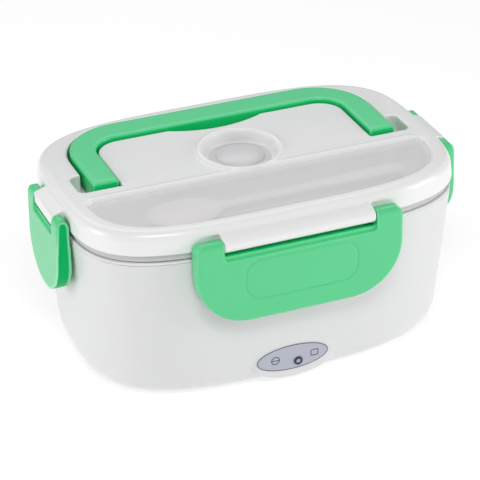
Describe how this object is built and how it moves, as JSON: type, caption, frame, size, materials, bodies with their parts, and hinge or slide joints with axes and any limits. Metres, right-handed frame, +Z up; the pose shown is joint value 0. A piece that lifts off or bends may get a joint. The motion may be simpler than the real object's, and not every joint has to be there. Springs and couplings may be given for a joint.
{
  "type": "electric lunch box",
  "caption": "Heated lunch box: white oval base with a lift-out food container, a clip-down lid with folding handle, steam vent and spoon trough, and hinged green latches.",
  "frame": {"origin": "middle of the footprint on the table", "axes": "+X to the right along the length, -Y the front with the control panel, +Z up"},
  "size_m": [0.2428, 0.1672, 0.1127],
  "materials": {
    "white_shell": "glossy white polypropylene",
    "white_liner": "smooth white polypropylene",
    "mint_plastic": "mint green polypropylene, semi gloss",
    "frosted_plastic": "translucent natural polypropylene",
    "clear_cover": "clear, lightly frosted plastic",
    "clear_lens": "clear indicator lens",
    "silicone": "translucent grey silicone",
    "spoon_plastic": "smooth white plastic",
    "label_film": "satin printed film in lilac grey",
    "foot_rubber": "matt grey rubber",
    "plated_steel": "zinc plated",
    "heater_aluminium": "smooth pressed aluminium",
    "heater_block": "polyimide wrapped heating element",
    "brass": "bright",
    "phenolic": "moulded heat resistant plastic",
    "circuit_board": "plain green board",
    "amber_led": "tinted epoxy",
    "black_plastic": "moulded black nylon",
    "lead_insulation": "silicone sleeved leads"
  },
  "bodies": {
    "base": {"base_housing": "white_shell", "catch_rails": "white_shell", "base_liner": "white_liner", "bottom_cover": "white_shell", "foot_front_left": "foot_rubber", "foot_front_right": "foot_rubber", "foot_rear_left": "foot_rubber", "foot_rear_right": "foot_rubber", "cover_screws": "plated_steel", "heater_plate": "heater_aluminium", "ptc_heater": "heater_block", "heater_clamp": "plated_steel", "clamp_screws": "brass", "thermostat": "phenolic", "thermal_fuse": "phenolic", "indicator_board": "circuit_board", "indicator_led": "amber_led", "indicator_lens": "clear_lens", "control_label": "label_film", "power_inlet": "black_plastic", "inlet_pins": "brass", "supply_leads": "lead_insulation", "heater_leads": "lead_insulation"},
    "container": {"food_container": "frosted_plastic"},
    "side_cup": {"side_dish_cup": "frosted_plastic"},
    "lid": {"lid_shell": "white_shell", "lid_seal": "silicone"},
    "vent": {"steam_vent_plug": "silicone"},
    "handle": {"carry_handle": "mint_plastic"},
    "front_latch": {"front_latch": "mint_plastic"},
    "back_latch": {"back_latch": "mint_plastic"},
    "left_latch": {"left_latch": "mint_plastic"},
    "right_latch": {"right_latch": "mint_plastic"},
    "spoon": {"spoon": "spoon_plastic"},
    "spoon_cover": {"spoon_cover": "clear_cover"}
  },
  "joints": [
    {"name": "container_lift", "type": "slide", "parent": "base", "child": "container", "axis": [0, 0, 1], "range_m": [0, 0.08]},
    {"name": "side_cup_lift", "type": "slide", "parent": "container", "child": "side_cup", "axis": [0, 0, 1], "range_m": [0, 0.075]},
    {"name": "lid_lift", "type": "slide", "parent": "side_cup", "child": "lid", "axis": [0, 0, 1], "range_m": [0, 0.06]},
    {"name": "front_latch_hinge", "type": "hinge", "parent": "lid", "child": "front_latch", "pos_m": [0, -0.0792, 0.0999], "axis": [-1, 0, 0], "range_deg": [0, 110]},
    {"name": "back_latch_hinge", "type": "hinge", "parent": "lid", "child": "back_latch", "pos_m": [0, 0.0792, 0.0999], "axis": [1, 0, 0], "range_deg": [0, 110]},
    {"name": "left_latch_hinge", "type": "hinge", "parent": "lid", "child": "left_latch", "pos_m": [-0.117, 0, 0.0999], "axis": [0, 1, 0], "range_deg": [0, 110]},
    {"name": "right_latch_hinge", "type": "hinge", "parent": "lid", "child": "right_latch", "pos_m": [0.117, 0, 0.0999], "axis": [0, -1, 0], "range_deg": [0, 110]},
    {"name": "handle_hinge", "type": "hinge", "parent": "lid", "child": "handle", "pos_m": [0, 0, 0.1048], "axis": [1, 0, 0], "range_deg": [0, 90]},
    {"name": "vent_plug_lift", "type": "slide", "parent": "lid", "child": "vent", "axis": [0, 0, 1], "range_m": [0, 0.006]},
    {"name": "spoon_lift", "type": "slide", "parent": "lid", "child": "spoon", "axis": [0, 0, 1], "range_m": [0, 0.03]},
    {"name": "spoon_cover_lift", "type": "slide", "parent": "spoon", "child": "spoon_cover", "axis": [0, 0, 1], "range_m": [0, 0.03]}
  ]
}
